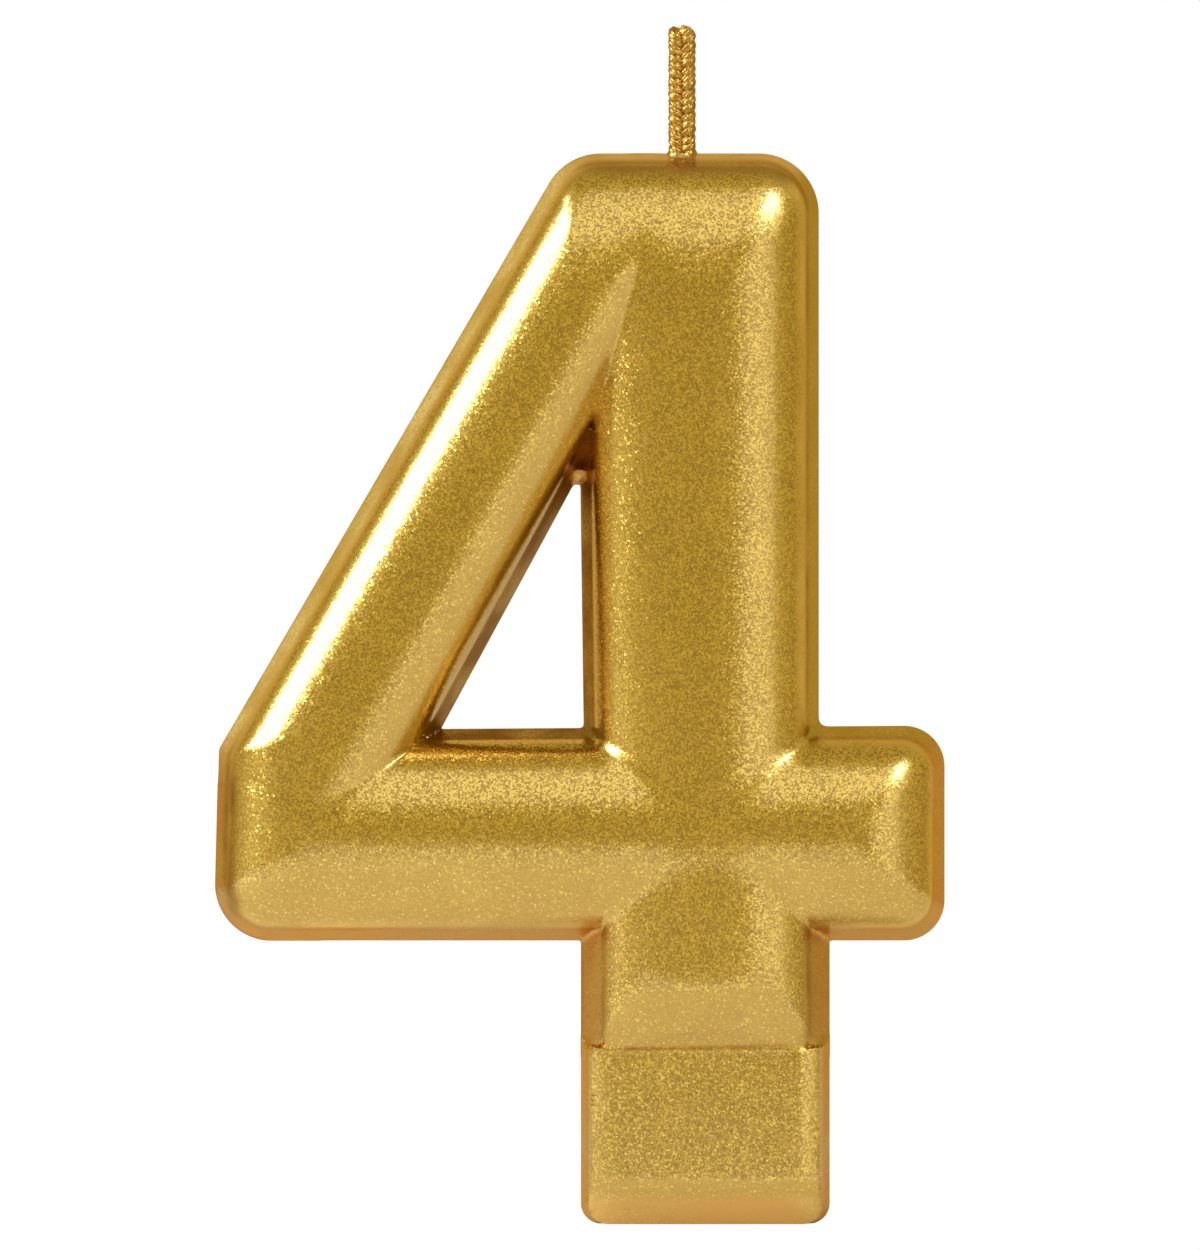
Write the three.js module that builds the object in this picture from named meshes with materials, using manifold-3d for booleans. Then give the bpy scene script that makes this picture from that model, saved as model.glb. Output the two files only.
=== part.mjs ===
// Number candle in the form of a 4: a cast wax core, a metallic dip coat and a plaited cotton wick.
import * as THREE from 'three';
import { mergeVertices } from 'three/addons/utils/BufferGeometryUtils.js';
import Module from 'manifold-3d';

const wasm = await Module();
wasm.setup();

// Outline seen from the front, in millimetres: X to the right, Z up, zero in the middle of the foot
const bodyHeight = 73.94;
const stubHeight = 12.2;
const stemHeight = 7.36;
const stemWidth = 17.18;
const barHeight = 14.51;
const armStep = 0.34;
const armLength = 7.94;
const barLeftLength = 25.36;
const uprightSetBack = 0.75;
const uprightWidth = 16.24;
const uprightLean = 0.0136;
const slantLean = 0.5833;
const slantInnerLean = 0.5425;
const slantFootRise = 13.23;
const slantFootInset = 0.35;
const slantSpan = 15.63;
const webHeight = 1.1;

const stemHalfWidth = stemWidth / 2;
const barBottomZ = stubHeight + stemHeight;
const counterBottomZ = barBottomZ + barHeight;
const armTopZ = counterBottomZ + armStep;
const armEndX = stemHalfWidth + armLength;
const barLeftX = -stemHalfWidth - barLeftLength;
const uprightRightX = stemHalfWidth - uprightSetBack;
const uprightLeftX = uprightRightX - uprightWidth;
const counterLeftX = barLeftX + slantSpan;
const slantFootX = barLeftX + slantFootInset;
const slantFootZ = barBottomZ + slantFootRise;
const slantTopX = slantFootX + (bodyHeight - slantFootZ) * slantLean;
const slantInnerTopX = counterLeftX + (bodyHeight - counterBottomZ) * slantInnerLean;
const slantInnerFootX = counterLeftX - barHeight * slantInnerLean;
const apexZ = counterBottomZ + (uprightLeftX - counterLeftX) / (slantInnerLean + uprightLean);
const slantTopSpan = slantInnerTopX - slantTopX;

// Corner radii of the outline
const topRadius = 4.15;
const barRadius = 3.9;
const armRadius = 2.8;
const slantRadius = 0.8;
const footRadius = 1.4;
const armFillet = 0.9;
const smallFillet = 0.4;
const hiddenRadius = 1;
const sharpRadius = 0.05;

// Section through a stroke: a drafted side wall, a crease, then a dome up to the middle of the stroke
const halfDepth = 6.3;
const wallDepth = 2.35;
const wallDraft = 0.85;
const hipRadius = 2.2;
const topReach = 9.2;
const armReach = 6;
const barReach = barHeight / 2 - wallDraft;
const slantReach = slantTopSpan / 2 / Math.hypot(1, slantLean) - wallDraft;
const uprightReach = uprightWidth / 2 - wallDraft;

// Lower stem: a broader border, with a groove between it and the dome
const stemBorder = 1.5;
const stemWallDepth = 3.3;
const stemEndReach = 6.2;
const stemHipRadius = 3.4;
const grooveWidth = 0.25;
const grooveDepth = 0.3;
const stemReach = stemHalfWidth - stemBorder;

// Stub under the stem: flat panels, bevelled sides and a foot that slopes in to a narrow flat
const stubOverlap = 3.8;
const stubWallDraft = 0.7;
const stubWallDepth = 2.4;
const footHalfDepth = 1.6;
const footSlope = 2.1;
const footBevel = 3.1;

// Layers: the coat, the gap under it, and the bare pad of wax where the foot was trimmed
const coatThickness = 0.4;
const layerGap = 0.3;
const padMargin = 2.8;
const padHalfDepth = 0.9;
const padRoot = 0.9;
const padHalfLength = stemHalfWidth - padMargin;
const padHeight = coatThickness + layerGap + padRoot;

// Wick: three strands plaited flat, straight down the upright stroke
const wickOffset = 0.73;
const wickLength = 42.76;
const wickBuried = 34;
const strandRadius = 0.2;
const plaitHalfWidth = 0.65;
const plaitHalfDepth = 0.5;
const plaitPitch = 2.66;
const tipStagger = 0.22;
const boreClearance = 0.25;
const collarClearance = 0.1;
const collarWall = 0.15;
const collarHeight = 0.3;
const collarFlare = 0.15;

const wickX = (slantTopX + uprightRightX) / 2 - wickOffset;
const wickFootZ = bodyHeight - wickBuried;
const wickTipZ = wickFootZ + wickLength;
const wickHalfWidth = plaitHalfWidth + strandRadius;
const boreRadius = wickHalfWidth + boreClearance;
const collarRadius = wickHalfWidth + collarClearance;

// How finely the curves are divided: outside, and under the coat
const outerDome = [0.03, 0.09, 0.18, 0.3, 0.46, 0.66, 0.95];
const innerDome = [0.07, 0.2, 0.42, 0.7, 0.95];
const outerArcSteps = 6;
const innerArcSteps = 4;
const rodSides = 20;
const strandSides = 6;
const stepsPerPitch = 8;
const overshoot = 2;
const weldDistance = 1e-4;

// Closed solid out of rings with equal counts of points, capped at both ends
function loft(rings) {
  const count = rings[0].length;
  const vertices = rings.flat().flat();
  const faces = [];
  for (let level = 0; level + 1 < rings.length; level += 1) {
    for (let i = 0; i < count; i += 1) {
      const next = (i + 1) % count;
      const low = level * count;
      const high = low + count;
      faces.push(low + i, low + next, high + next, low + i, high + next, high + i);
    }
  }
  const last = (rings.length - 1) * count;
  for (let i = 1; i + 1 < count; i += 1) {
    faces.push(0, i + 1, i, last, last + i, last + i + 1);
  }
  const geometry = new THREE.BufferGeometry();
  geometry.setAttribute('position', new THREE.Float32BufferAttribute(vertices, 3));
  geometry.setIndex(faces);
  return solid(geometry);
}

// Joins equal vertices, drops the faces that close up, and turns the faces outward
function solid(source) {
  source.deleteAttribute('normal');
  source.deleteAttribute('uv');
  const merged = mergeVertices(source, weldDistance);
  const position = merged.attributes.position;
  const index = merged.index.array;
  const kept = [];
  for (let i = 0; i < index.length; i += 3) {
    const [a, b, c] = index.slice(i, i + 3);
    if (a !== b && b !== c && c !== a) {
      kept.push(a, b, c);
    }
  }
  if (volume(position, kept) < 0) {
    kept.reverse();
  }
  const mesh = new wasm.Mesh({
    numProp: 3,
    vertProperties: new Float32Array(position.array),
    triVerts: new Uint32Array(kept),
  });
  return new wasm.Manifold(mesh);
}

function volume(position, index) {
  const a = new THREE.Vector3();
  const b = new THREE.Vector3();
  const c = new THREE.Vector3();
  let sum = 0;
  for (let i = 0; i < index.length; i += 3) {
    a.fromBufferAttribute(position, index[i]);
    b.fromBufferAttribute(position, index[i + 1]);
    c.fromBufferAttribute(position, index[i + 2]);
    sum += a.dot(b.cross(c)) / 6;
  }
  return sum;
}

// Convex outline moved in by its own distance at each edge, as the corners that are left
function insetCorners(corners, insets) {
  const far = 4 * bodyHeight;
  let polygon = [[-far, -far], [far, -far], [far, far], [-far, far]];
  corners.forEach((corner, i) => {
    const next = corners[(i + 1) % corners.length];
    const length = Math.hypot(next[0] - corner[0], next[1] - corner[1]);
    const normal = [(corner[1] - next[1]) / length, (next[0] - corner[0]) / length];
    const height = (p) => (p[0] - corner[0]) * normal[0] + (p[1] - corner[1]) * normal[1] - insets[i];
    polygon = clip(polygon, height);
  });
  return polygon;
}

function clip(polygon, height) {
  const kept = [];
  polygon.forEach((point, i) => {
    const next = polygon[(i + 1) % polygon.length];
    const here = height(point);
    const there = height(next);
    if (here >= 0) {
      kept.push(point);
    }
    if ((here > 0 && there < 0) || (here < 0 && there > 0)) {
      const share = here / (here - there);
      kept.push([point[0] + share * (next[0] - point[0]), point[1] + share * (next[1] - point[1])]);
    }
  });
  return kept;
}

// Ring at one depth: the outline moved in edge by edge, with an arc at each corner
function ring(corners, insets, radii, depth, arcSteps) {
  const count = corners.length;
  const angles = corners.map((corner, i) => {
    const next = corners[(i + 1) % count];
    return Math.atan2(corner[0] - next[0], next[1] - corner[1]);
  });
  const points = [];
  corners.forEach((corner, i) => {
    const start = angles[(i + count - 1) % count];
    let turn = angles[i] - start;
    if (turn < 0) {
      turn += 2 * Math.PI;
    }
    const middle = start + turn / 2;
    const left = insetCorners(corners, insets.map((inset) => inset + radii[i]));
    const reach = (p) => p[0] * Math.cos(middle) + p[1] * Math.sin(middle);
    const centre = left.reduce((best, p) => (reach(p) > reach(best) ? p : best));
    for (let step = 0; step <= arcSteps; step += 1) {
      const angle = start + (turn * step) / arcSteps;
      const x = centre[0] + radii[i] * Math.cos(angle);
      const z = centre[1] + radii[i] * Math.sin(angle);
      points.push([x, depth, z]);
    }
  });
  return points;
}

// Front half of a section, mirrored to the back and joined at the parting line
function bothSides(levels) {
  const back = levels.slice().reverse().map((level) => level.map(([x, y, z]) => [x, -y, z]));
  return loft([...back, ...levels.slice(1)]);
}

// Section moved in by the skin, each point along the normal of the section
function offsetSection(section, skin) {
  return section.map((point, i) => {
    const before = section[Math.max(i - 1, 0)];
    const after = section[Math.min(i + 1, section.length - 1)];
    const across = after.across - before.across;
    const deep = after.deep - before.deep;
    const length = Math.hypot(across, deep);
    if (i === 0) {
      return { ...point, inward: skin };
    }
    return { ...point, deep: point.deep - (skin * across) / length, inward: (skin * deep) / length };
  });
}

// Section of a stroke: how far in, how deep, and how much of each edge's reach is used up
function domeSection(border, wall, steps, groove) {
  const section = [{ across: 0, deep: 0, part: 0 }, { across: border, deep: wall, part: 0 }];
  if (groove) {
    section.push({ across: border + grooveWidth, deep: wall - grooveDepth, part: grooveWidth / barReach });
  }
  steps.forEach((step) => {
    const part = groove ? Math.max(step, (2 * grooveWidth) / barReach) : step;
    const deep = wall + (halfDepth - wall) * Math.sqrt(1 - (1 - part) ** 2);
    section.push({ across: border + part * barReach, deep, part });
  });
  return section;
}

// One stroke of the numeral: its corners run anticlockwise, each edge with its own reach
function stroke({ corners, radii, reach, border, wall, hip, groove }, skin) {
  const isOutside = skin === 0;
  const steps = isOutside ? outerDome : innerDome;
  const arcSteps = isOutside ? outerArcSteps : innerArcSteps;
  const crease = groove && !isOutside ? wall - grooveDepth : wall;
  const section = domeSection(border, crease, steps, groove && isOutside);
  const levels = offsetSection(section, skin).map((point, i) => {
    const edge = i === 0 ? 0 : border;
    const insets = reach.map((r) => edge + point.part * r + point.inward);
    const cornerRadii = radii.map((r) => {
      const used = edge + point.part * barReach + point.inward;
      const soft = i === 0 ? 0 : hip * (1 - point.part);
      return Math.max(r - used, soft, sharpRadius);
    });
    return ring(corners, insets, cornerRadii, point.deep, arcSteps);
  });
  return bothSides(levels);
}

function slantStroke(skin) {
  return stroke({
    corners: [
      [slantTopX, bodyHeight], [slantFootX, slantFootZ], [barLeftX, barBottomZ],
      [slantInnerFootX, barBottomZ], [slantInnerTopX, bodyHeight],
    ],
    radii: [topRadius, slantRadius, barRadius, smallFillet, hiddenRadius],
    reach: [slantReach, barReach, barReach, slantReach, topReach],
    border: wallDraft,
    wall: wallDepth,
    hip: hipRadius,
  }, skin);
}

function uprightStroke(skin) {
  return stroke({
    corners: [
      [uprightLeftX - (bodyHeight - counterBottomZ) * uprightLean, bodyHeight],
      [uprightLeftX + barHeight * uprightLean, barBottomZ],
      [uprightRightX, barBottomZ], [uprightRightX, bodyHeight],
    ],
    radii: [topRadius, hiddenRadius, hiddenRadius, topRadius],
    reach: [uprightReach, barReach, uprightReach, topReach],
    border: wallDraft,
    wall: wallDepth,
    hip: hipRadius,
  }, skin);
}

function crossbar(skin) {
  return stroke({
    corners: [
      [barLeftX, counterBottomZ], [barLeftX, barBottomZ], [armEndX, barBottomZ], [armEndX, armTopZ],
    ],
    radii: [topRadius, barRadius, armRadius, armRadius],
    reach: [barReach, barReach, armReach, barReach],
    border: wallDraft,
    wall: wallDepth,
    hip: hipRadius,
  }, skin);
}

function stem(skin) {
  const endZ = stubHeight - stemBorder;
  return stroke({
    corners: [
      [-stemHalfWidth, counterBottomZ], [-stemHalfWidth, endZ],
      [stemHalfWidth, endZ], [stemHalfWidth, counterBottomZ],
    ],
    radii: [hiddenRadius, hiddenRadius, hiddenRadius, hiddenRadius],
    reach: [stemReach, stemEndReach, stemReach, barReach],
    border: stemBorder,
    wall: stemWallDepth,
    hip: stemHipRadius,
    groove: true,
  }, skin);
}

function stub(skin) {
  const topZ = stubHeight + stubOverlap;
  const corners = [[-stemHalfWidth, topZ], [-stemHalfWidth, 0], [stemHalfWidth, 0], [stemHalfWidth, topZ]];
  const radius = Math.max(footRadius - skin, sharpRadius);
  const radii = [sharpRadius, radius, radius, sharpRadius];
  const level = (deep, side, foot) => {
    const insets = [side + skin, foot + skin, side + skin, 0];
    return ring(corners, insets, radii, deep, innerArcSteps);
  };
  return bothSides([
    level(0, 0, 0),
    level(footHalfDepth - skin, (stubWallDraft * footHalfDepth) / stubWallDepth, 0),
    level(stubWallDepth - skin / 2, stubWallDraft, footSlope),
    level(stemWallDepth - skin, stemBorder, footBevel),
  ]);
}

// Small web that closes the narrow apex of the counter
function apexWeb() {
  const footZ = apexZ - webHeight;
  const halfWidth = webHeight;
  const middleX = uprightLeftX - (apexZ - counterBottomZ) * uprightLean;
  const corners = [
    [middleX - halfWidth, apexZ + webHeight], [middleX - halfWidth, footZ],
    [middleX + halfWidth, footZ], [middleX + halfWidth, apexZ + webHeight],
  ];
  const radii = corners.map(() => sharpRadius);
  return bothSides([
    ring(corners, [0, 0, 0, 0], radii, 0, innerArcSteps),
    ring(corners, [0, wallDraft / 2, 0, wallDraft / 2], radii, wallDepth / 2, innerArcSteps),
  ]);
}

// Concave fillet between two walls that meet at a corner; both walls draft away together
function fillet(corner, first, second, radius) {
  const half = Math.acos(first[0] * second[0] + first[1] * second[1]) / 2;
  const run = radius / Math.tan(half);
  const sum = [first[0] + second[0], first[1] + second[1]];
  const aim = sum.map((v) => -v / Math.hypot(...sum));
  const level = (deep, draft) => {
    const base = corner.map((v, i) => v + (aim[i] * draft) / Math.sin(half));
    const root = base.map((v, i) => v + aim[i] * radius);
    const centre = base.map((v, i) => v - (aim[i] * radius) / Math.sin(half));
    const from = base.map((v, i) => v + first[i] * run);
    const to = base.map((v, i) => v + second[i] * run);
    const points = [[root[0], deep, root[1]]];
    for (let step = 0; step <= innerArcSteps; step += 1) {
      const chord = from.map((v, i) => v + (step / innerArcSteps) * (to[i] - v) - centre[i]);
      const scale = radius / Math.hypot(...chord);
      points.push([centre[0] + chord[0] * scale, deep, centre[1] + chord[1] * scale]);
    }
    return points;
  };
  return bothSides([level(0, 0), level(wallDepth, wallDraft)]);
}

function fillets() {
  return [
    fillet([uprightRightX, armTopZ], [1, 0], [0, 1], armFillet),
    fillet([stemHalfWidth, barBottomZ], [0, -1], [1, 0], smallFillet),
    fillet([-stemHalfWidth, barBottomZ], [-1, 0], [0, -1], smallFillet),
  ];
}

// Whole numeral, smaller by the skin on every side
function numeral(skin) {
  const parts = [slantStroke, uprightStroke, crossbar, stem, stub];
  return parts.map((part) => part(skin)).reduce((whole, part) => whole.add(part));
}

function rod(radius, low, high, flare = 0) {
  const geometry = new THREE.CylinderGeometry(radius, radius + flare, high - low, rodSides);
  geometry.rotateX(Math.PI / 2);
  geometry.translate(wickX, 0, (low + high) / 2);
  return solid(geometry);
}

function block(halfX, halfY, low, high) {
  const geometry = new THREE.BoxGeometry(2 * halfX, 2 * halfY, high - low);
  geometry.translate(0, 0, (low + high) / 2);
  return solid(geometry);
}

// Dip coat: a thin shell with a collar round the wick, open at the wick and at the trimmed foot
function coat() {
  const rimTop = bodyHeight + collarHeight;
  const rim = rod(collarRadius + collarWall, bodyHeight - coatThickness, rimTop, collarFlare);
  const outside = [...fillets(), apexWeb(), rim].reduce((whole, part) => whole.add(part), numeral(0));
  const slot = block(padHalfLength + layerGap, padHalfDepth + layerGap, -overshoot, padHeight);
  const hole = rod(collarRadius, bodyHeight - overshoot, bodyHeight + overshoot);
  return outside.subtract(numeral(coatThickness)).subtract(slot).subtract(hole);
}

// Wax core: the numeral under the coat, with a blind hole for the wick and a bare pad as its foot
function core() {
  const bore = rod(boreRadius, wickFootZ - layerGap, bodyHeight + overshoot);
  const pad = block(padHalfLength, padHalfDepth, 0, padHeight);
  return numeral(coatThickness + layerGap).add(pad).subtract(bore);
}

// One strand of the flat plait: side to side once in a pitch, front to back twice
class StrandPath extends THREE.Curve {
  constructor(phase, low, high) {
    super();
    this.phase = phase;
    this.low = low;
    this.high = high;
  }

  getPoint(t, target = new THREE.Vector3()) {
    const z = this.low + t * (this.high - this.low);
    const turn = (2 * Math.PI * z) / plaitPitch + this.phase;
    return target.set(wickX + plaitHalfWidth * Math.sin(turn), plaitHalfDepth * Math.sin(2 * turn), z);
  }
}

function strand(number) {
  const high = wickTipZ - number * tipStagger;
  const path = new StrandPath((number * 2 * Math.PI) / 3, wickFootZ, high);
  const section = new THREE.Shape();
  section.absarc(0, 0, strandRadius, 0, 2 * Math.PI, false);
  const steps = Math.round(((high - wickFootZ) / plaitPitch) * stepsPerPitch);
  const curveSegments = strandSides / 2;
  const geometry = new THREE.ExtrudeGeometry(section, { steps, extrudePath: path, curveSegments });
  return solid(geometry);
}

function named(body, name, material) {
  const mesh = body.getMesh();
  const geometry = new THREE.BufferGeometry();
  geometry.setAttribute('position', new THREE.Float32BufferAttribute(mesh.vertProperties, 3));
  geometry.setIndex(new THREE.Uint32BufferAttribute(mesh.triVerts, 1));
  geometry.computeVertexNormals();
  const piece = new THREE.Mesh(geometry, material);
  piece.name = name;
  return piece;
}

const wax = new THREE.MeshStandardMaterial({ name: 'ivory_wax', color: 0xefe3c4, roughness: 0.5 });
const gold = new THREE.MeshStandardMaterial({
  name: 'gold_dip',
  color: 0xc39a3c,
  metalness: 0.8,
  roughness: 0.35,
});
const cotton = new THREE.MeshStandardMaterial({ name: 'gold_cotton', color: 0xb8923f, roughness: 0.7 });

const candle = new THREE.Group();
candle.name = 'number_candle';
candle.add(named(core(), 'wax_core', wax));
candle.add(named(coat(), 'gold_coat', gold));
candle.add(named(strand(0), 'wick_strand_1', cotton));
candle.add(named(strand(1), 'wick_strand_2', cotton));
candle.add(named(strand(2), 'wick_strand_3', cotton));

export default candle;
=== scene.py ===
"""Number candle in the form of a 4: a gold dipped wax numeral with a plaited wick.

Laid out as an add-on: property groups hold the sizes and colours, one operator makes each piece,
and a panel in the 3D view's sidebar shows the values and runs the operators.
"""
import math
from functools import partial

import bpy
import numpy as np
from bpy.props import FloatProperty, FloatVectorProperty, IntProperty, PointerProperty
from mathutils import Matrix, Vector
from mathutils.geometry import delaunay_2d_cdt


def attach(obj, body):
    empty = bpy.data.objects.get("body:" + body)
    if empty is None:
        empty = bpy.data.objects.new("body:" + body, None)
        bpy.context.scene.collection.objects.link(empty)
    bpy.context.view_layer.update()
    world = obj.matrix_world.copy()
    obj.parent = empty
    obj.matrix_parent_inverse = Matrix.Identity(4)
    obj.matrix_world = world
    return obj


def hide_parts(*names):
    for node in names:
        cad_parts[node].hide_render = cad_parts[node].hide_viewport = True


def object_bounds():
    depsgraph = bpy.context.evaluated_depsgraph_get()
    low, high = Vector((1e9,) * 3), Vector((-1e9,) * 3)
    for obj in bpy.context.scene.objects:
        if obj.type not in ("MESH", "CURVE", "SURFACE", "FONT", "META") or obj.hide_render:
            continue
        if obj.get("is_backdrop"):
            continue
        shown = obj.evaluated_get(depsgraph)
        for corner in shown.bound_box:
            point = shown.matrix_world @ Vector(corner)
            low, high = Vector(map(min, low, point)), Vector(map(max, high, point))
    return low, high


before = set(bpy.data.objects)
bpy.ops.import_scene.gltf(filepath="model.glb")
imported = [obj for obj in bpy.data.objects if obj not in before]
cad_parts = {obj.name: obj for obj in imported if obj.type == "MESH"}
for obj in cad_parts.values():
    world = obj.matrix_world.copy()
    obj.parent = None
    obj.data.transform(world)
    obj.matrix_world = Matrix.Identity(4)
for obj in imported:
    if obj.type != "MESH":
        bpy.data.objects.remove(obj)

bl_info = {
    "name": "Number Candle",
    "version": (1, 0, 0),
    "blender": (4, 5, 0),
    "location": "3D View > Sidebar > Candle",
    "description": "Builds a gold dipped number candle, its wick and a plain studio",
    "category": "Object",
}

MM = 0.001
TINY = 0.05 * MM
PICTURE_WIDTH = 1200
PICTURE_HEIGHT = 1250
SHARP_ANGLE = math.radians(38)
FOOT_FROM_LEFT = 705.3
FOOT_FROM_TOP = 1223.5
SENSOR_WIDTH = 36


# Sizes and colours

def length(name, description, default):
    """A length in metres, shown in the scene's unit."""
    return FloatProperty(name=name, description=description, default=default * MM,
                         precision=5, unit="LENGTH", subtype="DISTANCE")


def number(name, description, default):
    """A plain number."""
    return FloatProperty(name=name, description=description, default=default)


def paint(name, description, default):
    """A colour between black and white."""
    return FloatVectorProperty(name=name, description=description, default=default, subtype="COLOR",
                               size=3, min=0, max=1)


class CandleBody(bpy.types.PropertyGroup):
    """Sizes of the numeral, in its own plane and through its depth."""

    height: length("Height", "From the foot to the top edge, without the wick", 73.94)
    stub_height: length("Stub height", "Flat stub that goes into the cake", 12.2)
    stem_height: length("Stem height", "Stem between the stub and the crossbar", 7.36)
    stem_width: length("Stem width", "Width of the stem and the stub", 17.18)
    bar_height: length("Bar height", "Height of the crossbar", 14.51)
    arm_step: length("Arm step", "How much higher the arm's top is than the counter's foot", 0.34)
    arm_length: length("Arm length", "Crossbar to the right of the stem", 7.94)
    bar_left_length: length("Bar left length", "Crossbar to the left of the stem", 25.36)
    upright_set_back: length("Upright set back", "Upright's right side inside the stem's", 0.75)
    upright_width: length("Upright width", "Width of the upright stroke", 16.24)
    slant_span: length("Slant span", "Level width of the slanting stroke at the counter's foot", 15.63)
    slant_foot_rise: length("Slant foot rise", "Height on the bar where the slant begins", 13.23)
    slant_foot_inset: length("Slant foot inset", "Taper of the bar's left end", 0.35)
    upright_lean: number("Upright lean", "Slope of its inner side", 0.0136)
    slant_lean: number("Slant lean", "Outer slope", 0.5833)
    inner_lean: number("Inner lean", "Slope of the counter's slanting side", 0.5425)
    top_radius: length("Top radius", "Outer corners at the top", 4.15)
    bar_radius: length("Bar radius", "Lower left corner", 3.9)
    arm_radius: length("Arm radius", "Corners of the arm", 2.8)
    foot_radius: length("Foot radius", "Corners of the stub", 1.4)
    hip_radius: length("Hip radius", "Roundness of the dome's corners", 2.2)
    half_depth: length("Half depth", "From the parting line to the top of a dome", 6.3)
    wall_depth: length("Wall depth", "Depth of the drafted side wall", 2.35)
    wall_draft: length("Wall draft", "Width of the side wall seen from the front", 0.85)
    stem_border: length("Stem border", "Border beside the stem's dome", 1.5)
    stem_wall: length("Stem wall", "Depth of the stem's border and of the stub's panel", 3.3)
    top_reach: length("Top reach", "From the wall to the ridge at the top end", 9.2)
    arm_reach: length("Arm reach", "From the wall to the ridge at the arm's end", 6.0)
    stem_reach: length("Stem reach", "From the groove to the ridge at the stem's end", 4.8)
    groove_depth: length("Groove depth", "Groove round the stem's dome", 0.3)
    groove_width: length("Groove width", "Half width of that groove", 0.3)
    valley: length("Valley softness", "How softly two strokes meet", 0.4)
    corner_fill: length("Corner fill", "How softly two side walls meet", 0.4)
    corner_dome: length("Corner dome", "Extra softness where the domes meet over the crossbar", 1.7)
    stub_lap: length("Stub lap", "How far the flat panel runs on under the stem's dome", 0.84)
    end_slope: number("End slope", "How gently the stem's dome runs down to the stub", 0.85)
    web_foot: length("Web foot", "Height at which a web of coat closes the counter's apex", 51.05)
    web_depth: length("Web depth", "Depth of that web over the parting line", 1.2)
    foot_draft: length("Foot draft", "Rise of the foot from its middle to its edge", 0.03)
    mismatch: length("Mould mismatch", "Sideways slip between the two halves of the mould", 0.16)
    waviness: length("Waviness", "Unevenness of the dipped surface", 0.035)
    point_gap: length("Point gap", "Distance between points along a ring", 0.17)


class CandleWick(bpy.types.PropertyGroup):
    """Sizes of the plaited wick."""

    centre: length("Centre", "Sideways place of the wick", -1.61)
    low: length("Low end", "Height of the buried end", 39.94)
    high: length("High end", "Height of the tip", 82.45)
    half_width: length("Half width", "Sideways swing of a strand", 0.62)
    half_depth: length("Half depth", "Swing of a strand from front to back", 0.3)
    pitch: length("Pitch", "Length of one whole plait", 1.6)
    strand: length("Strand radius", "Radius of one strand with its coat", 0.42)
    stagger: length("Stagger", "Step between the ends of the strands", 0.05)
    yarns: IntProperty(name="Yarns", description="Yarns seen round one strand", default=7)
    twist: number("Twist", "Turns of the yarns in one plait", 0.7)


class CandleFinish(bpy.types.PropertyGroup):
    """Colours and grain of the surfaces; the rim colours and the brown are painted reflections, highlights
    and shade.
    """

    gold: paint("Gold", "Main colour of the coat", (0.62, 0.425, 0.08))
    deep: paint("Deep gold", "Colour of the dark flakes", (0.41, 0.27, 0.043))
    pale: paint("Pale gold", "Colour of the bright flakes", (0.97, 0.76, 0.22))
    # Painted reflection: the orange of the steep side walls stands in for gold seen at a grazing angle.
    rim: paint("Rim", "Orange of the steep side walls", (0.64, 0.37, 0.13))
    # Painted highlight: a smooth pale strip along the foot of the domes.
    painted_highlight_band: paint("Band", "Smooth edge of the domes", (1.0, 0.78, 0.34))
    # Painted reflection of the floor on side walls that face down.
    low_painted_reflection: paint("Low rim", "Side walls that face down", (0.82, 0.47, 0.18))
    # Painted light from above on the top's side wall.
    top_painted_light: paint("Top rim", "Lighter orange of the top's side wall", (1.0, 0.82, 0.55))
    # Painted reflection of the room on side walls that face right.
    olive_painted_reflection: paint("Olive rim", "Side walls that face right", (0.64, 0.52, 0.14))
    # Painted highlight: the pale side wall of the slant, where the key light falls.
    pale_painted_highlight: paint("Pale rim", "Side wall of the slant and the foot", (1.0, 0.94, 0.55))
    # Painted reflection of the floor on the strip along the trimmed foot.
    foot_painted_reflection: paint("Foot rim", "Band along the trimmed foot", (0.74, 0.48, 0.16))
    # Painted shade in the counter, in creases and where the coat meets the wick.
    painted_shade_brown: paint("Brown", "Walls in the counter and dark creases", (0.31, 0.165, 0.025))
    wax: paint("Wax", "Colour of the bare wax", (0.83, 0.74, 0.53))
    flake: length("Flake", "Size of a glitter flake", 0.115)
    flake_tilt: number("Flake tilt", "How far flakes lean", 0.17)
    roughness: number("Roughness", "Roughness of the coat", 0.255)


class CandleStudio(bpy.types.PropertyGroup):
    """Camera and lights."""

    distance: length("Distance", "Camera to candle", 900.0)
    pixel: length("Pixel", "Size of one picture point at the candle", 0.0691)
    key: number("Key", "Radiance of the big box on the left", 6.2)
    side: number("Side", "Radiance of the small box on the right", 5.6)
    panel: number("Panel", "Radiance of the tall panel on the right", 0.47)
    top: number("Top", "Radiance of the soft light above", 0.46)
    floor_left: length("Floor left", "Left edge", -500.0)
    floor_right: length("Floor right", "Right edge", 300.0)
    floor_near: length("Floor near", "Before the candle", 190.0)
    floor_far: length("Floor far", "Behind the candle", 300.0)
    front: paint("Front", "Light of the room before the candle", (0.52, 0.395, 0.11))
    sides: paint("Sides", "Light of the room beside the candle", (0.48, 0.35, 0.09))
    above: paint("Above", "Light of the dark ceiling", (0.46, 0.34, 0.09))
    behind: paint("Behind", "Light of the backdrop behind the candle", (0.8, 0.56, 0.17))


# Shape of the strokes

LEVEL_HALVINGS = 20
OUTSIDE_FALL = 0.85 * MM
ARC_POINTS = 12


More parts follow.
